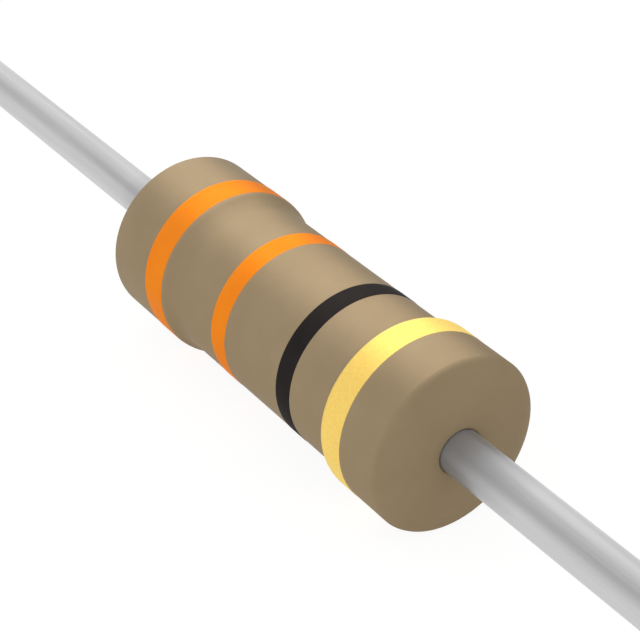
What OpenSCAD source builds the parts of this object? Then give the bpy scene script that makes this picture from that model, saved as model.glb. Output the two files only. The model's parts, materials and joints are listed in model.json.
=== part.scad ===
// Axial-leaded carbon film resistor, quarter-watt size, in millimetres.
// The lead axis is X, the origin is the centre of the lacquered body.
// It is built up as the real one is: ceramic rod, trimmed film, pressed caps, welded leads,
// dipped lacquer and painted bands.

/* [Rod and film] */
// Diameter of the ceramic rod
rod_d = 1.7; // [1.5:0.05:2]
// Length of the ceramic rod
rod_len = 5.4; // [5:0.1:6.5]
// Rounding of the rod's end edges
rod_edge_r = 0.1; // [0.08:0.01:0.2]
// Thickness of the carbon film, drawn thicker than the real deposit
film_t = 0.02; // [0.015:0.005:0.04]
// Full turns of the groove that trims the film
groove_turns = 3; // [1:1:3]
// Axial distance from one turn of the groove to the next
groove_pitch = 1.0; // [0.6:0.05:1.1]
// Width of the groove
groove_w = 0.2; // [0.1:0.01:0.3]

/* [End caps] */
// Wall of the pressed caps, on the sides and at the closed end
cap_wall = 0.15; // [0.1:0.01:0.2]
// Length of each cap over its closed end
cap_len = 0.9; // [0.7:0.05:1]
// Outer rounding at the closed end of a cap
cap_corner_r = 0.14; // [0.08:0.01:0.2]
// Rounding inside the closed end of a cap
cap_inner_r = 0.06; // [0.03:0.01:0.08]
// Rounding of the outer edge at the open rim of a cap
cap_rim_r = 0.05; // [0.02:0.01:0.08]

/* [Leads] */
// Diameter of the lead wires
lead_d = 0.59; // [0.5:0.01:0.7]
// Length of each lead outside the body
lead_len = 28; // [5:1:38]
// Flare of the welded foot around the wire
foot_flare = 0.17; // [0.16:0.005:0.18]
// Thickness of the welded foot at its rim
foot_rim = 0.03; // [0.02:0.005:0.04]
// Bevel that the cutter leaves on the free end of a lead
lead_bevel = 0.04; // [0.02:0.01:0.08]

/* [Lacquer] */
// Thickness of the lacquer over the sides of the caps
head_coat = 0.18; // [0.12:0.01:0.3]
// Thickness of the lacquer over the closed ends of the caps
end_coat = 0.25; // [0.24:0.01:0.4]
// Thickness of the lacquer over the film, between the heads
waist_coat = 0.235; // [0.2:0.005:0.26]
// Length of the left head, from the end face to where its shoulder meets the waist
left_head_len = 1.69; // [1.5:0.01:1.8]
// Length of the right head, from the end face to where its shoulder meets the waist
right_head_len = 1.2; // [1:0.02:1.7]
// Rounding of the left shoulder, where the head starts to fall to the waist
left_shoulder_r = 0.15; // [0.12:0.01:0.3]
// Rounding of the right shoulder
right_shoulder_r = 0.28; // [0.25:0.01:0.45]
// Hollow rounding at the foot of the left shoulder
left_fillet_r = 0.6; // [0.3:0.02:0.7]
// Hollow rounding at the foot of the right shoulder
right_fillet_r = 0.05; // [0.04:0.01:0.1]
// Rounding of the edge around each end face
end_edge_r = 0.05; // [0.03:0.01:0.2]
// Rise of the slightly domed end faces
end_dome = 0.03; // [0.01:0.005:0.05]

/* [Painted bands] */
// Thickness of the paint
paint_t = 0.02; // [0.015:0.005:0.03]
// Distance from the left end face to the first band
first_band_inset = 0.89; // [0.4:0.01:1]
// Width of the first band
first_band_w = 0.43; // [0.3:0.01:0.5]
// Distance from the body's centre to the middle of the second band, to the left
second_band_place = 0.48; // [0.4:0.02:0.8]
// Width of the second band
second_band_w = 0.33; // [0.2:0.01:0.4]
// Distance from the body's centre to the middle of the third band, to the right
third_band_place = 1.05; // [0.5:0.01:1.3]
// Width of the third band
third_band_w = 0.31; // [0.2:0.01:0.4]
// Distance from the right end face to the fourth band
fourth_band_inset = 0.68; // [0.4:0.01:0.75]
// Width of the fourth band
fourth_band_w = 0.44; // [0.3:0.01:0.5]

/* [Hidden] */

// Sides of round shapes, steps of the arcs in the lacquer's outline, flat strips round the film
round_sides = 96;
arc_steps = 8;
film_sides = 36;

rod_r = rod_d / 2;
film_r = rod_r + film_t;
cap_r = film_r + cap_wall;
lead_r = lead_d / 2;
head_r = cap_r + head_coat;
waist_r = film_r + waist_coat;

rod_end = rod_len / 2;
cap_face = rod_end + cap_wall;
cap_rim = cap_face - cap_len;
body_end = cap_face + end_coat;
lead_end = body_end + lead_len;

// Centre of the domed face's arc, and centre of the edge rounding that joins it to the side
edge_x = head_r - end_edge_r;
dome_r = (pow(edge_x, 2) + pow(end_dome, 2)) / (2 * end_dome);
dome_z = body_end - dome_r;
edge_z = dome_z + sqrt(pow(dome_r - end_edge_r, 2) - pow(edge_x, 2));

tan_lacquer = [0.68, 0.6, 0.46];
orange_paint = [1, 0.55, 0.12];
black_paint = [0.15, 0.14, 0.15];
gold_paint = [0.95, 0.8, 0.4];
tinned_steel = [0.78, 0.78, 0.8];
tinned_copper = [0.74, 0.74, 0.75];
white_ceramic = [0.93, 0.92, 0.88];
carbon_grey = [0.2, 0.2, 0.21];

// Sections are drawn with the radius across and the place along the axis upwards.
// This turns a section about that axis and lays the axis along X.
module turned() {
    rotate([0, 90, 0])
        rotate_extrude($fn = round_sides)
            children();
}

// A round bar's half section from low to high, with its upper edge rounded
module bar_section(radius, low, high, edge) {
    translate([0, low])
        square([radius, high - edge - low]);
    translate([0, low])
        square([radius - edge, high - low]);
    translate([radius - edge, high - edge])
        circle(edge, $fn = round_sides);
}

// Places a right-hand section, or mirrors it for the left-hand end
module at_end(side) {
    if (side < 0)
        mirror([0, 1])
            children();
    else
        children();
}

// Ceramic rod, plain with rounded end edges
module ceramic_rod() {
    color(white_ceramic)
        turned()
            for (side = [-1, 1])
                at_end(side)
                    bar_section(rod_r, 0, rod_end, rod_edge_r);
}

// Place along the axis of one pass of the groove at an angle, on its centre line
function groove_place(pass, angle) = groove_pitch * (pass + angle / 360 - groove_turns / 2);

// Both edges of every groove pass at an angle, between the two ends of the film
function film_edges(angle, last_pass) = concat(
    [-film_end],
    [for (pass = [0 : last_pass], edge = [-1, 1]) groove_place(pass, angle) + edge * groove_w / 2],
    [film_end]);

film_end = rod_end - rod_edge_r;
seam_count = 2 * groove_turns + 4;
ring_count = 2 * groove_turns + 2;

// One ring of corners: those of the outer face first, then those of the inner face.
// The inner corners stand out a little, so that the flat strips between them clear the rod.
function film_ring(angle, last_pass) = [
    for (radius = [film_r, rod_r / cos(180 / film_sides)], place = film_edges(angle, last_pass))
        [radius * cos(angle), radius * sin(angle), place]];

film_corners = concat(
    film_ring(0, groove_turns),
    [for (step = [1 : film_sides - 1]) each film_ring(step * 360 / film_sides, groove_turns - 1)]);

// Number of a corner: ring 0 is the seam where the groove starts and ends
function corner(ring, entry, inner) = ring == 0
    ? entry + inner * seam_count
    : 2 * seam_count + (ring - 1) * 2 * ring_count + entry + inner * ring_count;

// Corners along one strip's edge, low to high. At the seam a strip leaves from one set of
// entries and arrives, a turn later, at the next one.
function edge_entries(ring, strip) =
    ring == 0 ? [for (entry = [2 * strip : strip == groove_turns ? seam_count - 1 : 2 * strip + 1]) entry]
    : ring == film_sides ? (strip == 0 ? [0, 1, 2, 3] : [2 * strip + 2, 2 * strip + 3])
    : [2 * strip, 2 * strip + 1];

function edge_corners(ring, strip, inner) =
    [for (entry = edge_entries(ring, strip)) corner(ring % film_sides, entry, inner)];

// Triangles between two rising rows of corners, the first row to the left seen from outside
function between(left, right) = concat(
    [for (i = [1 : len(left) - 1]) [left[i - 1], left[i], right[0]]],
    [for (i = [1 : len(right) - 1]) [left[len(left) - 1], right[i], right[i - 1]]]);

function last(list) = list[len(list) - 1];

// Outer face, inner face and both side walls of one strip between two neighbouring rings
function strip_faces(ring, strip) =
    let (outer_a = edge_corners(ring, strip, 0), outer_b = edge_corners(ring + 1, strip, 0),
         inner_a = edge_corners(ring, strip, 1), inner_b = edge_corners(ring + 1, strip, 1))
    concat(
        between(outer_a, outer_b),
        between(inner_b, inner_a),
        between([last(outer_a), last(inner_a)], [last(outer_b), last(inner_b)]),
        between([inner_a[0], outer_a[0]], [inner_b[0], outer_b[0]]));

// The two short walls that close the groove where it starts and where it ends
groove_ends = concat(
    between([for (entry = [1, 2]) corner(0, entry, 0)],
            [for (entry = [1, 2]) corner(0, entry, 1)]),
    between([for (entry = [seam_count - 3, seam_count - 2]) corner(0, entry, 1)],
            [for (entry = [seam_count - 3, seam_count - 2]) corner(0, entry, 0)]));

// Carbon film: two uncut sleeves under the caps and the helical ribbon that the groove leaves
module carbon_film() {
    color(carbon_grey)
        rotate([0, 90, 0])
            polyhedron(
                film_corners,
                concat(
                    [for (ring = [0 : film_sides - 1], strip = [0 : groove_turns])
                        each strip_faces(ring, strip)],
                    groove_ends));
}

// Outer form of a cap, also the hollow that it leaves in the lacquer
module cap_form() {
    bar_section(cap_r, cap_rim + cap_rim_r, cap_face, cap_corner_r);
    translate([0, cap_rim])
        square([cap_r - cap_rim_r, cap_len / 2]);
    translate([cap_r - cap_rim_r, cap_rim + cap_rim_r])
        circle(cap_rim_r, $fn = round_sides);
}

// Pressed steel cap, forced over the rod's end and the film
module end_cap(side) {
    color(tinned_steel)
        turned()
            at_end(side)
                difference() {
                    cap_form();
                    bar_section(film_r, cap_rim, rod_end, cap_inner_r);
                }
}

// Wire with the flared foot that welding leaves on the cap
module lead_form() {
    foot_r = lead_r + foot_flare;
    translate([0, cap_face])
        square([lead_r, lead_end - lead_bevel - cap_face]);
    translate([0, cap_face])
        square([foot_r, foot_rim]);
    difference() {
        translate([0, cap_face])
            square([foot_r, foot_rim + foot_flare]);
        translate([foot_r, cap_face + foot_rim + foot_flare])
            circle(foot_flare, $fn = round_sides);
    }
}

module lead(side) {
    color(tinned_copper)
        turned()
            at_end(side) {
                lead_form();
                polygon([[0, lead_end - lead_bevel], [lead_r, lead_end - lead_bevel],
                         [lead_r - lead_bevel, lead_end], [0, lead_end]]);
            }
}

// Points of an arc about a centre, the first one left out where a tangent arc has drawn it
function arc(centre, radius, from, to, first = 0) =
    [for (i = [first : arc_steps])
        let (angle = from + (to - from) * i / arc_steps)
        centre + radius * [cos(angle), sin(angle)]];

// Outline of one head from the foot of its shoulder to the axis: fillet, shoulder, edge, dome.
// paint is the thickness that a coat of paint adds all round.
function head_outline(head_len, shoulder_r, fillet_r, paint) =
    let (foot = [waist_r + fillet_r, body_end - head_len],
         rise = sqrt(pow(shoulder_r + fillet_r, 2) - pow(foot.x - head_r + shoulder_r, 2)),
         shoulder = [head_r - shoulder_r, foot.y + rise],
         shoulder_angle = atan2(foot.y - shoulder.y, foot.x - shoulder.x),
         edge_angle = atan2(edge_z - dome_z, edge_x))
    concat(
        arc(foot, fillet_r - paint, 180, 180 + shoulder_angle),
        arc(shoulder, shoulder_r + paint, shoulder_angle, 0, 1),
        arc([edge_x, edge_z], end_edge_r + paint, 0, edge_angle),
        arc([0, dome_z], dome_r + paint, edge_angle, 90, 1));

// Half section of the whole lacquered body
module body_section(paint) {
    right = head_outline(right_head_len, right_shoulder_r, right_fillet_r, paint);
    left = head_outline(left_head_len, left_shoulder_r, left_fillet_r, paint);
    polygon(concat(right, [for (i = [len(left) - 1 : -1 : 0]) [left[i].x, -left[i].y]]));
}

// Tan lacquer, dipped over rod, film, caps and lead feet, which it meets all over
module coating() {
    color(tan_lacquer)
        turned()
            difference() {
                body_section(0);
                translate([0, -cap_rim])
                    square([film_r, 2 * cap_rim]);
                for (side = [-1, 1])
                    at_end(side) {
                        cap_form();
                        lead_form();
                    }
            }
}

// One painted band from a place along the body upwards, following the lacquer's outline
module painted_band(paint_color, low, width) {
    color(paint_color)
        turned()
            intersection() {
                difference() {
                    body_section(paint_t);
                    body_section(0);
                }
                translate([0, low])
                    square([head_r + 2 * paint_t, width]);
            }
}

ceramic_rod();
carbon_film();
end_cap(-1);  // end_cap_left
end_cap(1);  // end_cap_right
lead(-1);  // lead_left
lead(1);  // lead_right
coating();
painted_band(orange_paint, first_band_inset - body_end, first_band_w);  // first_digit_band
painted_band(orange_paint, -second_band_place - second_band_w / 2, second_band_w);  // second_digit_band
painted_band(black_paint, third_band_place - third_band_w / 2, third_band_w);  // multiplier_band
painted_band(gold_paint, body_end - fourth_band_inset - fourth_band_w, fourth_band_w);  // tolerance_band
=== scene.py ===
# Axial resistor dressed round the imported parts. Metres, the leads lie along X, Z is up.
import json
import math

import bpy
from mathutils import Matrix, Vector


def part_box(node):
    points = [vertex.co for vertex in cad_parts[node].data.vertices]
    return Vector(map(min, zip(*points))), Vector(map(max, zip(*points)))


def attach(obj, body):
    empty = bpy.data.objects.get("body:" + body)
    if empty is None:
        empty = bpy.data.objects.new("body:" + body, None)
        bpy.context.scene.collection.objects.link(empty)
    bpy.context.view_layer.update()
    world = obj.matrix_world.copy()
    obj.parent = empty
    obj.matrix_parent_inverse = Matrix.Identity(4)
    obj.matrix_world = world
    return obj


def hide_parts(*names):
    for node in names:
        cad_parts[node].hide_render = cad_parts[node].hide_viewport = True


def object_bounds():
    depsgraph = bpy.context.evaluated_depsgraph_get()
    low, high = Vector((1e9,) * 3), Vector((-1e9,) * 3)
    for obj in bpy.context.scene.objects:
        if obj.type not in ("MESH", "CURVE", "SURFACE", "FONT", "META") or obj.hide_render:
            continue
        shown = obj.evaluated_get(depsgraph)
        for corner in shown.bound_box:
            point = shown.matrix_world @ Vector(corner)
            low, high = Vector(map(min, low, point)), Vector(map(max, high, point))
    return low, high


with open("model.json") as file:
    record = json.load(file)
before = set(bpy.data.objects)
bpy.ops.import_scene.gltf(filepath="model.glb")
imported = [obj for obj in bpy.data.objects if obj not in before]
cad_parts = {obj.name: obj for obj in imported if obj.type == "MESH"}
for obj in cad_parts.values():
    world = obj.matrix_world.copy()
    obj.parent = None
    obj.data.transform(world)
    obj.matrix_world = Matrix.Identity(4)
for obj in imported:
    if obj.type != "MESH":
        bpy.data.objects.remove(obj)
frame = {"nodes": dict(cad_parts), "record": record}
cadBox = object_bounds()
nodes = frame["nodes"]
mm = 0.001
print("frame loaded:", len(nodes), "parts")

# Camera, as it stood for the photo, in mm
view = {"place": (16.72, -11.16, 12.84), "target": (0.017, 0.157, 0.118), "lens": 102.8,
        "nearClip": 0.5, "farClip": 2000}
lookAlong = Vector(view["target"]) - Vector(view["place"])
bpy.ops.object.camera_add(location=Vector(view["place"]) * mm,
                          rotation=lookAlong.to_track_quat("-Z", "Y").to_euler())
camera = bpy.context.object
camera.data.lens = view["lens"]
camera.data.clip_start = view["nearClip"] * mm
camera.data.clip_end = view["farClip"] * mm
bpy.context.scene.camera = camera
bpy.context.scene.view_settings.view_transform = "Standard"
print("camera set")


# Outlines are lists of (place along X, radius) points in mm
turning = {"steps": 240, "weld": 1e-7, "smoothAngle": 32}


def startOutline(name, first):
    # a plane shrunk to one point is what the outline is pulled out of
    bpy.ops.object.select_all(action="DESELECT")
    bpy.ops.mesh.primitive_plane_add(size=mm)
    piece = bpy.context.object
    piece.name = name
    piece.data.name = name
    bpy.ops.object.mode_set(mode="EDIT")
    bpy.ops.mesh.merge(type="CENTER")
    bpy.ops.transform.translate(value=(first[0] * mm, 0, first[1] * mm))
    return piece


def pullOutline(points):
    for here, there in zip(points, points[1:]):
        move = ((there[0] - here[0]) * mm, 0, (there[1] - here[1]) * mm)
        bpy.ops.mesh.extrude_region_move(TRANSFORM_OT_translate={"value": move})


def turnPiece(name, points, closed=False):
    piece = startOutline(name, points[0])
    pullOutline(points + points[:1] if closed else points)
    bpy.ops.mesh.select_all(action="SELECT")
    bpy.ops.mesh.spin(steps=turning["steps"], angle=math.tau, center=(0, 0, 0), axis=(1, 0, 0))
    bpy.ops.mesh.select_all(action="SELECT")
    bpy.ops.mesh.remove_doubles(threshold=turning["weld"])
    bpy.ops.mesh.normals_make_consistent(inside=False)
    bpy.ops.object.mode_set(mode="OBJECT")
    bpy.ops.object.shade_smooth_by_angle(angle=math.radians(turning["smoothAngle"]))
    return piece


def arcPoints(centre, radius, start, end, steps):
    # angles in degrees from +X towards the outside
    points = []
    for step in range(steps + 1):
        angle = math.radians(start + (end - start) * step / steps)
        points.append((centre[0] + radius * math.cos(angle), centre[1] + radius * math.sin(angle)))
    return points


def mirrorEnd(points):
    return [(-x, radius) for x, radius in reversed(points)]


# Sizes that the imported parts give, in mm
def partBox(node):
    low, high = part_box(node)
    return low / mm, high / mm


pins = {mount["name"]: mount for mount in frame["record"]["mounts"]}
wireRadius = pins["right_lead"]["dims"]["r_mm"]
bodyEnd = partBox("coating")[1].x
headRadius = partBox("coating")[1].z
packedPaint = 0.02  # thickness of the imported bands
waistRadius = partBox("second_digit_band")[1].z - packedPaint
capFace = partBox("end_cap_right")[1].x
capRim = partBox("end_cap_right")[0].x
capRadius = partBox("end_cap_right")[1].z
filmRadius = partBox("carbon_film")[1].z
leadEnd = partBox("lead_right")[1].x

# Lacquer: what is not read from the parts, in mm
lacquer = {"left": {"length": 1.69, "shoulder": 0.15, "fillet": 0.6},
           "right": {"length": 1.2, "shoulder": 0.28, "fillet": 0.05},
           "face": 3.219, "domeRadius": 5.5, "rimLength": 0.1, "rimDepth": 0.45, "lip": 0.035,
           "arcSteps": 16, "domeSteps": 8, "rimSteps": 4, "lipSteps": 4}


def headOutline(head):
    # from the foot of the shoulder over the head to the wire
    steps = lacquer["arcSteps"]
    foot = (bodyEnd - head["length"], waistRadius + head["fillet"])
    drop = foot[1] - headRadius + head["shoulder"]
    reach = head["shoulder"] + head["fillet"]
    shoulder = (foot[0] + math.sqrt(reach ** 2 - drop ** 2), headRadius - head["shoulder"])
    meet = math.degrees(math.atan2(foot[1] - shoulder[1], foot[0] - shoulder[0]))
    # rim: part of an ellipse, tight on the side and soft on the face, up to where it has the dome's slope
    length, depth, domeRadius = lacquer["rimLength"], lacquer["rimDepth"], lacquer["domeRadius"]
    rimSide = headRadius - depth
    last = math.pi / 2
    for attempt in range(6):  # each try brings the end of the ellipse nearer to the dome's slope
        domeAngle = math.asin((rimSide + depth * math.cos(last)) / domeRadius)
        last = math.atan2(length, depth * math.tan(domeAngle))
    domeX = lacquer["face"] - domeRadius
    rimX = domeX + domeRadius * math.cos(domeAngle) - length * math.sin(last)
    lipSide = wireRadius + lacquer["lip"]
    lipAngle = math.degrees(math.asin(lipSide / domeRadius))
    points = arcPoints(foot, head["fillet"], 270, meet + 180, steps)
    points += arcPoints(shoulder, head["shoulder"], meet, 90, steps)[1:]
    turns = [last * step / lacquer["rimSteps"] for step in range(lacquer["rimSteps"] + 1)]
    points += [(rimX + length * math.sin(turn), rimSide + depth * math.cos(turn)) for turn in turns]
    points += arcPoints((domeX, 0), domeRadius, math.degrees(domeAngle), lipAngle, lacquer["domeSteps"])[1:]
    lipX = points[-1][0] - lacquer["lip"]  # rounded in where the lacquer meets the wire
    points += arcPoints((lipX, lipSide), lacquer["lip"], 0, -90, lacquer["lipSteps"])[1:]
    return points


outsideRight = headOutline(lacquer["right"])
outsideLeft = mirrorEnd(headOutline(lacquer["left"]))
outside = outsideLeft + outsideRight


def radiusAt(place):
    # radius of the lacquer at a place along X
    for here, there in zip(outside, outside[1:]):
        if here[0] <= place <= there[0] and there[0] > here[0]:
            share = (place - here[0]) / (there[0] - here[0])
            return here[1] + share * (there[1] - here[1])
    return headRadius


def newMaterial(name, roughness, metallic=0.0, specular=0.5):
    material = bpy.data.materials.new(name)
    material.use_nodes = True
    tree = material.node_tree
    shader = tree.nodes["Principled BSDF"]
    shader.inputs["Roughness"].default_value = roughness
    shader.inputs["Metallic"].default_value = metallic
    shader.inputs["Specular IOR Level"].default_value = specular
    return material, tree, shader


def placeNode(tree, stretch=(1, 1, 1)):
    # object coordinates in mm, squeezed along an axis where a pattern runs along it
    coordinates = tree.nodes.new("ShaderNodeTexCoord")
    mapping = tree.nodes.new("ShaderNodeMapping")
    mapping.inputs["Scale"].default_value = [value / mm for value in stretch]
    tree.links.new(coordinates.outputs["Object"], mapping.inputs["Vector"])
    return mapping.outputs["Vector"]


def noiseNode(tree, place, scale, detail=3.0, rough=0.5):
    # scale is in patches per mm
    noise = tree.nodes.new("ShaderNodeTexNoise")
    noise.inputs["Scale"].default_value = scale
    noise.inputs["Detail"].default_value = detail
    noise.inputs["Roughness"].default_value = rough
    tree.links.new(place, noise.inputs["Vector"])
    return noise.outputs["Fac"]


def rangeNode(tree, value, low, high, outLow, outHigh):
    spread = tree.nodes.new("ShaderNodeMapRange")
    for socket, number in zip(("From Min", "From Max", "To Min", "To Max"), (low, high, outLow, outHigh)):
        spread.inputs[socket].default_value = number
    tree.links.new(value, spread.inputs["Value"])
    return spread.outputs["Result"]


def mixColours(tree, share, first, second):
    mix = tree.nodes.new("ShaderNodeMix")
    mix.data_type = "RGBA"
    tree.links.new(share, mix.inputs["Factor"])
    for socket, colour in ((mix.inputs[6], first), (mix.inputs[7], second)):
        if isinstance(colour, bpy.types.NodeSocket):
            tree.links.new(colour, socket)
        else:
            socket.default_value = paint(colour)
    return mix.outputs[2]


def bumpNode(tree, height, distance, strength=1.0, under=None):
    # distance in mm
    bump = tree.nodes.new("ShaderNodeBump")
    bump.inputs["Distance"].default_value = distance * mm
    bump.inputs["Strength"].default_value = strength
    tree.links.new(height, bump.inputs["Height"])
    if under is not None:
        tree.links.new(under, bump.inputs["Normal"])
    return bump.outputs["Normal"]


def paint(colour):
    # a colour as a screen shows it, 0 to 255, into the linear one that the shader wants
    linear = []
    for part in colour:
        part /= 255
        linear.append(part / 12.92 if part <= 0.04045 else ((part + 0.055) / 1.055) ** 2.4)
    return (*linear, 1.0)


def dress(piece, material, slot, *replaced):
    piece.data.materials.append(material)
    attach(piece, "root")
    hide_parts(*replaced)


# Tan lacquer
tan = {"colour": (160, 140, 109), "deep": (156, 136, 105), "pale": (164, 144, 113),
       "cloud": 1.3, "grain": 24, "roughness": (0.54, 0.64), "specular": 0.08,
       "orangePeel": 5.0, "peelHeight": 0.004, "grainHeight": 0.0006}


def tanMaterial():
    material, tree, shader = newMaterial("tan lacquer", 0.55, specular=tan["specular"])
    place = placeNode(tree)
    cloud = noiseNode(tree, place, tan["cloud"], 4, 0.6)
    grain = noiseNode(tree, place, tan["grain"], 2)
    clouded = mixColours(tree, rangeNode(tree, cloud, 0.3, 0.7, 0, 1), tan["deep"], tan["pale"])
    colour = mixColours(tree, rangeNode(tree, grain, 0.35, 0.65, 0, 0.35), clouded, tan["colour"])
    tree.links.new(colour, shader.inputs["Base Color"])
    tree.links.new(rangeNode(tree, cloud, 0.3, 0.7, *tan["roughness"]), shader.inputs["Roughness"])
    peel = bumpNode(tree, noiseNode(tree, place, tan["orangePeel"], 1), tan["peelHeight"])
    tree.links.new(bumpNode(tree, grain, tan["grainHeight"], under=peel), shader.inputs["Normal"])
    return material


# Hollow in the lacquer for the film, the caps and the feet of the leads, in mm
hollow = {"flare": 0.17, "footRim": 0.03, "flareSteps": 8,
          "capCorner": 0.14, "capCornerSteps": 8, "rimCorner": 0.05, "rimCornerSteps": 4}


def footPoints():
    # wire's side, down the flare to the foot's rim and the cap's face
    flare = hollow["flare"]
    side = wireRadius + flare
    top = capFace + hollow["footRim"] + flare
    return arcPoints((top, side), flare, 270, 180, hollow["flareSteps"]) + [(capFace, side)]


def capPoints():
    # cap's outside from its face to the open rim
    corner, rimCorner = hollow["capCorner"], hollow["rimCorner"]
    faceCentre = (capFace - corner, capRadius - corner)
    face = arcPoints(faceCentre, corner, 0, 90, hollow["capCornerSteps"])
    rimCentre = (capRim + rimCorner, capRadius - rimCorner)
    rim = arcPoints(rimCentre, rimCorner, 90, 180, hollow["rimCornerSteps"])
    return face + rim + [(capRim, filmRadius)]


insideRight = footPoints() + capPoints()
body = turnPiece("lacquer_body", outside + insideRight + mirrorEnd(insideRight), closed=True)
dress(body, tanMaterial(), "tan_lacquer", "coating")
print("lacquer turned:", len(body.data.polygons), "faces")


# Painted bands, which follow the lacquer's outline
bandShape = {"thick": 0.005, "edge": 0.04, "sunk": 0.004, "steps": 26, "edgeSteps": 5, "slopeOver": 0.01}


def bandPoints(low, high):
    # along the lacquer and back a little under its surface, the paint thinning out at both edges
    edge, edgeSteps, steps = bandShape["edge"], bandShape["edgeSteps"], bandShape["steps"]
    middle = high - low - 2 * edge
    stations = [low + edge * step / edgeSteps for step in range(edgeSteps)]
    stations += [low + edge + middle * step / steps for step in range(steps + 1)]
    stations += [high - edge * step / edgeSteps for step in reversed(range(edgeSteps))]
    sunk, beside = bandShape["sunk"], bandShape["slopeOver"]
    over, under = [], []
    for place in stations:
        slope = (radiusAt(place + beside) - radiusAt(place - beside)) / (2 * beside)
        length = math.hypot(1, slope)
        inward = min(1, min(place - low, high - place) / edge)
        lift = bandShape["thick"] * math.sqrt(1 - (1 - inward) ** 2)
        over.append((place - slope / length * lift, radiusAt(place) + lift / length))
        under.append((place + slope / length * sunk, radiusAt(place) - sunk / length))
    return over + under[::-1]


orange = {"colour": (255, 144, 20), "deep": (255, 137, 13), "cloud": 3.0, "roughness": (0.52, 0.64),
          "specular": 0.06, "brush": 9.0, "brushDrag": (3, 0.8, 0.8), "brushHeight": 0.0012}
black = {"colour": (45, 41, 40), "deep": (40, 37, 36), "cloud": 3.0, "roughness": (0.52, 0.64),
         "specular": 0.02, "brush": 9.0, "brushDrag": (3, 0.8, 0.8), "brushHeight": 0.0012}
gold = {"colour": (254, 227, 128), "deep": (250, 216, 115), "cloud": 2.0, "flakes": 55.0,
        "roughness": (0.74, 0.84), "metallic": 0.6, "flakeHeight": 0.0012}


def bandMaterial(name, look):
    material, tree, shader = newMaterial(name, 0.5, specular=look["specular"])
    place = placeNode(tree)
    around = placeNode(tree, look["brushDrag"])  # the brush drags the paint round the body
    cloud = noiseNode(tree, place, look["cloud"], 3)
    brush = noiseNode(tree, around, look["brush"], 2)
    colour = mixColours(tree, rangeNode(tree, cloud, 0.3, 0.7, 0, 1), look["colour"], look["deep"])
    tree.links.new(colour, shader.inputs["Base Color"])
    tree.links.new(rangeNode(tree, brush, 0.3, 0.7, *look["roughness"]), shader.inputs["Roughness"])
    tree.links.new(bumpNode(tree, brush, look["brushHeight"]), shader.inputs["Normal"])
    return material


def goldMaterial():
    material, tree, shader = newMaterial("gold paint", 0.4, metallic=gold["metallic"])
    place = placeNode(tree)
    cloud = noiseNode(tree, place, gold["cloud"], 3)
    flakes = tree.nodes.new("ShaderNodeTexVoronoi")
    flakes.inputs["Scale"].default_value = gold["flakes"]
    tree.links.new(place, flakes.inputs["Vector"])
    glint = tree.nodes.new("ShaderNodeSeparateColor")
    tree.links.new(flakes.outputs["Color"], glint.inputs["Color"])
    colour = mixColours(tree, glint.outputs["Red"], gold["deep"], gold["colour"])
    tree.links.new(colour, shader.inputs["Base Color"])
    tree.links.new(rangeNode(tree, cloud, 0.3, 0.7, *gold["roughness"]), shader.inputs["Roughness"])
    tree.links.new(bumpNode(tree, glint.outputs["Green"], gold["flakeHeight"]), shader.inputs["Normal"])
    return material


orangePaint = bandMaterial("orange paint", orange)
bands = [("first_band", "first_digit_band", orangePaint, "orange_paint"),
         ("second_band", "second_digit_band", orangePaint, "orange_paint"),
         ("third_band", "multiplier_band", bandMaterial("black paint", black), "black_paint"),
         ("fourth_band", "tolerance_band", goldMaterial(), "gold_paint")]
for name, node, material, slot in bands:
    low, high = partBox(node)
    band = turnPiece(name, bandPoints(low.x, high.x), closed=True)
    dress(band, material, slot, node)
print("bands painted:", len(bands))


# Leads, drawn from tinned copper
# the darker colour for the wire next to the body is painted shade, on tin that is also less metallic there
wire = {"bevel": 0.04, "bevelFlat": 0.3, "ringEvery": 1.0,
        "colour": (206, 205, 205), "dull": (189, 189, 190), "roughness": (0.3, 0.42),
        "matt": (157, 160, 166), "mattLength": 1.5, "mattMetallic": 0.5,
        "streaks": 7.0, "streakStretch": 0.03, "drawHeight": 0.0025, "frost": 40, "frostHeight": 0.0008,
        "core": (196, 120, 84), "shear": 5, "shearStretch": (1, 0.4, 6), "shearHeight": 0.004}


def leadPoints():
    bevelStart = leadEnd - wire["bevel"]
    side = footPoints()[::-1]
    rings = int((bevelStart - side[-1][0]) / wire["ringEvery"])
    points = [(capFace, 0)] + side
    points += [(side[-1][0] + (bevelStart - side[-1][0]) * step / rings, wireRadius)
               for step in range(1, rings + 1)]
    broken = wire["bevel"] * wire["bevelFlat"]  # the cut end's edge has two flats
    points += [(leadEnd - broken, wireRadius - broken), (leadEnd, wireRadius - wire["bevel"]), (leadEnd, 0)]
    return points


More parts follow.
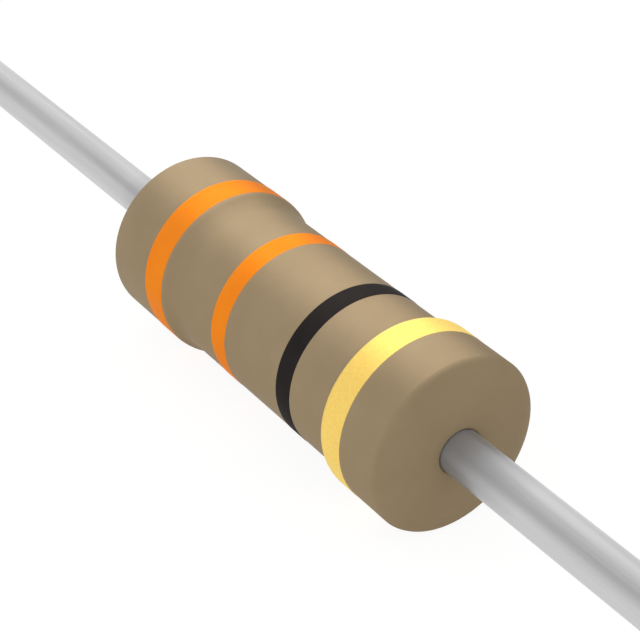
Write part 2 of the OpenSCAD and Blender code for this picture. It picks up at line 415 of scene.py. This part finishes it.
def wireMaterial():
    material, tree, shader = newMaterial("tinned wire", 0.3, metallic=1.0)
    along = placeNode(tree, (wire["streakStretch"], 1, 1))
    place = placeNode(tree)
    streaks = noiseNode(tree, along, wire["streaks"], 4, 0.6)
    frost = noiseNode(tree, place, wire["frost"], 2)
    drawnColour = mixColours(tree, rangeNode(tree, streaks, 0.35, 0.65, 0, 1), wire["dull"], wire["colour"])
    split = tree.nodes.new("ShaderNodeSeparateXYZ")
    tree.links.new(place, split.inputs["Vector"])
    away = tree.nodes.new("ShaderNodeMath")
    away.operation = "ABSOLUTE"
    tree.links.new(split.outputs["X"], away.inputs[0])
    # painted shade: the tin is darker next to the body, where shade falls on the wire, and also less
    # metallic there; both fade out away from the body
    shadeFade = rangeNode(tree, away.outputs[0], bodyEnd, bodyEnd + wire["mattLength"], 0, 1)
    tree.links.new(mixColours(tree, shadeFade, wire["matt"], drawnColour), shader.inputs["Base Color"])
    tree.links.new(rangeNode(tree, shadeFade, 0, 1, wire["mattMetallic"], 1), shader.inputs["Metallic"])
    tree.links.new(rangeNode(tree, streaks, 0.35, 0.65, *wire["roughness"]), shader.inputs["Roughness"])
    drawn = bumpNode(tree, streaks, wire["drawHeight"])
    tree.links.new(bumpNode(tree, frost, wire["frostHeight"], under=drawn), shader.inputs["Normal"])
    return material


def coreMaterial():
    material, tree, shader = newMaterial("cut copper", 0.35, metallic=1.0)
    shear = noiseNode(tree, placeNode(tree, wire["shearStretch"]), wire["shear"], 3)
    colour = mixColours(tree, rangeNode(tree, shear, 0.35, 0.65, 0, 1), wire["core"], wire["dull"])
    tree.links.new(colour, shader.inputs["Base Color"])
    tree.links.new(bumpNode(tree, shear, wire["shearHeight"]), shader.inputs["Normal"])
    return material


tinned, cutCopper = wireMaterial(), coreMaterial()
cutFace = (leadEnd - 0.001) * mm  # only the cut's faces have their centre past this
leads = [("lead_wire_right", "lead_right", False), ("lead_wire_left", "lead_left", True)]
for name, node, mirrored in leads:
    points = leadPoints()
    lead = turnPiece(name, mirrorEnd(points) if mirrored else points)
    dress(lead, tinned, "tinned_wire", node)
    lead.data.materials.append(cutCopper)
    for face in lead.data.polygons:
        if abs(face.center.x) > cutFace:
            face.material_index = 1
print("leads drawn")


# Parts inside the lacquer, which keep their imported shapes
ceramic = {"colour": (240, 237, 228), "pore": (214, 209, 198), "pores": 18, "poreHeight": 0.01,
           "roughness": 0.8, "specular": 0.3}
carbon = {"colour": (74, 72, 74), "deep": (52, 52, 56), "cloud": 3, "roughness": (0.28, 0.5),
          "metallic": 0.6}
steel = {"colour": (212, 212, 216), "dull": (182, 183, 188), "drawn": 9, "drawnStretch": (0.2, 1, 1),
         "drawnHeight": 0.002, "roughness": (0.22, 0.4)}


def redress(node, material):
    for place in nodes[node].material_slots:
        place.material = material


def ceramicMaterial():
    material, tree, shader = newMaterial("white ceramic", ceramic["roughness"],
                                         specular=ceramic["specular"])
    pores = noiseNode(tree, placeNode(tree), ceramic["pores"], 5, 0.65)
    colour = mixColours(tree, rangeNode(tree, pores, 0.35, 0.6, 0, 1), ceramic["pore"], ceramic["colour"])
    tree.links.new(colour, shader.inputs["Base Color"])
    tree.links.new(bumpNode(tree, pores, ceramic["poreHeight"]), shader.inputs["Normal"])
    return material


def carbonMaterial():
    material, tree, shader = newMaterial("carbon film", 0.35, metallic=carbon["metallic"])
    cloud = noiseNode(tree, placeNode(tree), carbon["cloud"], 4, 0.6)
    colour = mixColours(tree, rangeNode(tree, cloud, 0.3, 0.7, 0, 1), carbon["deep"], carbon["colour"])
    tree.links.new(colour, shader.inputs["Base Color"])
    tree.links.new(rangeNode(tree, cloud, 0.3, 0.7, *carbon["roughness"]), shader.inputs["Roughness"])
    return material


def capMaterial():
    material, tree, shader = newMaterial("pressed steel", 0.3, metallic=1.0)
    drawn = noiseNode(tree, placeNode(tree, steel["drawnStretch"]), steel["drawn"], 3)
    colour = mixColours(tree, rangeNode(tree, drawn, 0.35, 0.65, 0, 1), steel["dull"], steel["colour"])
    tree.links.new(colour, shader.inputs["Base Color"])
    tree.links.new(rangeNode(tree, drawn, 0.3, 0.7, *steel["roughness"]), shader.inputs["Roughness"])
    tree.links.new(bumpNode(tree, drawn, steel["drawnHeight"]), shader.inputs["Normal"])
    return material


redress("ceramic_rod", ceramicMaterial())
redress("carbon_film", carbonMaterial())
pressedSteel = capMaterial()
redress("end_cap_left", pressedSteel)
redress("end_cap_right", pressedSteel)
print("inner parts dressed")


# Floor and sky, the floor in mm
studio = {"floor": 1200, "floorGlow": 0.905, "floorShade": 0.17, "floorPale": (246, 246, 246),
          "skyLevel": 1.125, "skyTilt": (-0.04, -0.2, 0), "skyLift": 0.56}
bpy.ops.object.select_all(action="DESELECT")
bpy.ops.mesh.primitive_plane_add(size=studio["floor"] * mm, location=(0, 0, cadBox[0].z))
floor = bpy.context.object
floor.name = "floor"


def seenByEye(tree):
    # 1 for camera, mirror and glass rays, 0 for the rays that light the object
    path = tree.nodes.new("ShaderNodeLightPath")
    total = path.outputs["Is Camera Ray"]
    for output in ("Is Glossy Ray", "Is Transmission Ray"):
        most = tree.nodes.new("ShaderNodeMath")
        most.operation = "MAXIMUM"
        tree.links.new(total, most.inputs[0])
        tree.links.new(path.outputs[output], most.inputs[1])
        total = most.outputs[0]
    return total


floorMaterial = bpy.data.materials.new("pale floor")
floorMaterial.use_nodes = True
tree = floorMaterial.node_tree
tree.nodes.remove(tree.nodes["Principled BSDF"])
output = tree.nodes["Material Output"]
plain = tree.nodes.new("ShaderNodeBsdfDiffuse")
plain.inputs["Color"].default_value = paint(studio["floorPale"])
weak = tree.nodes.new("ShaderNodeBsdfDiffuse")
weak.inputs["Color"].default_value = (studio["floorShade"],) * 3 + (1,)
glow = tree.nodes.new("ShaderNodeEmission")
glow.inputs["Strength"].default_value = studio["floorGlow"]
both = tree.nodes.new("ShaderNodeAddShader")
tree.links.new(glow.outputs[0], both.inputs[0])
tree.links.new(weak.outputs[0], both.inputs[1])
choice = tree.nodes.new("ShaderNodeMixShader")
tree.links.new(seenByEye(tree), choice.inputs["Fac"])
tree.links.new(plain.outputs[0], choice.inputs[1])
tree.links.new(both.outputs[0], choice.inputs[2])
tree.links.new(choice.outputs[0], output.inputs["Surface"])
floor.data.materials.append(floorMaterial)

world = bpy.data.worlds.new("studio")
bpy.context.scene.world = world
world.use_nodes = True
tree = world.node_tree
background = tree.nodes["Background"]
background.inputs["Color"].default_value = (1, 1, 1, 1)
direction = tree.nodes.new("ShaderNodeTexCoord")
split = tree.nodes.new("ShaderNodeSeparateXYZ")
tree.links.new(direction.outputs["Generated"], split.inputs["Vector"])
# more light from the front and left, less from straight above
sideways = tree.nodes.new("ShaderNodeVectorMath")
sideways.operation = "DOT_PRODUCT"
sideways.inputs[1].default_value = studio["skyTilt"]
tree.links.new(direction.outputs["Generated"], sideways.inputs[0])
upwards = rangeNode(tree, split.outputs["Z"], 0, 1, 1, 1 - studio["skyLift"])
sky = tree.nodes.new("ShaderNodeMath")
sky.operation = "ADD"
tree.links.new(sideways.outputs["Value"], sky.inputs[0])
tree.links.new(upwards, sky.inputs[1])
skyLevel = rangeNode(tree, sky.outputs[0], 0, 2, 0, 2 * studio["skyLevel"])
shown = tree.nodes.new("ShaderNodeMapRange")
tree.links.new(seenByEye(tree), shown.inputs["Value"])
tree.links.new(skyLevel, shown.inputs["To Min"])
shown.inputs["To Max"].default_value = 1
tree.links.new(shown.outputs["Result"], background.inputs["Strength"])

# Strip lamp with a honeycomb that keeps its light on the top of the part, off the near end face,
# in mm, degrees and watts
strip = {"place": (-14.6, -0.1, 40), "lean": -20, "size": (64, 0.92), "spread": 1.2,
         "watts": 0.000131, "colour": (1, 0.965, 0.94)}
bpy.ops.object.light_add(type="AREA", location=Vector(strip["place"]) * mm,
                         rotation=(0, math.radians(strip["lean"]), 0))
lamp = bpy.context.object
lamp.name = "strip lamp"
lamp.data.shape = "RECTANGLE"
lamp.data.size, lamp.data.size_y = (side * mm for side in strip["size"])
lamp.data.spread = math.radians(strip["spread"])
lamp.data.energy = strip["watts"]
lamp.data.color = strip["colour"]
lamp.visible_camera = False
lit = bpy.data.collections.new("lit by the strip")  # floor and leads stay out of its light
for name in ["lacquer_body"] + [row[0] for row in bands]:
    lit.objects.link(bpy.data.objects[name])
lamp.light_linking.receiver_collection = lit

# Shaded card that only shows in the gloss, parallel to the leads: distance, angles off +Z towards -Y,
# length, and the brightness at three of those angles
card = {"away": 60, "from": -60, "to": 92, "length": 640,
        "bright": (-34, 1.2), "dark": (50, 0.65), "pale": (80, 0.98)}
lean = math.radians((card["from"] + card["to"]) / 2)
height = 2 * card["away"] * math.tan(math.radians((card["to"] - card["from"]) / 2))
cardPlace = Vector((0, -math.sin(lean), math.cos(lean))) * card["away"] * mm
bpy.ops.object.select_all(action="DESELECT")
bpy.ops.mesh.primitive_plane_add(size=mm, location=cardPlace, rotation=(lean, 0, 0))
greyCard = bpy.context.object
greyCard.name = "grey_card"
greyCard.scale = (card["length"], height, 1)
bpy.ops.object.transform_apply(location=False, rotation=False, scale=True)
cardMaterial = bpy.data.materials.new("grey card")
cardMaterial.use_nodes = True
tree = cardMaterial.node_tree
tree.nodes.remove(tree.nodes["Principled BSDF"])
glow = tree.nodes.new("ShaderNodeEmission")
tree.links.new(glow.outputs[0], tree.nodes["Material Output"].inputs["Surface"])
split = tree.nodes.new("ShaderNodeSeparateXYZ")
tree.links.new(placeNode(tree), split.inputs["Vector"])
stops = {name: (card["away"] * math.tan(lean - math.radians(card[name][0])), card[name][1])
         for name in ("bright", "dark", "pale")}
halves = []
for name in ("bright", "pale"):
    (darkPlace, dark), (endPlace, end) = stops["dark"], stops[name]
    halves.append(rangeNode(tree, split.outputs["Y"], darkPlace, endPlace, dark, end))
brighter = tree.nodes.new("ShaderNodeMath")
brighter.operation = "MAXIMUM"
for half, socket in zip(halves, brighter.inputs):
    tree.links.new(half, socket)
tree.links.new(brighter.outputs[0], glow.inputs["Strength"])
greyCard.data.materials.append(cardMaterial)
greyCard.visible_camera = greyCard.visible_diffuse = False
greyCard.visible_shadow = greyCard.visible_transmission = False
print("studio lit")
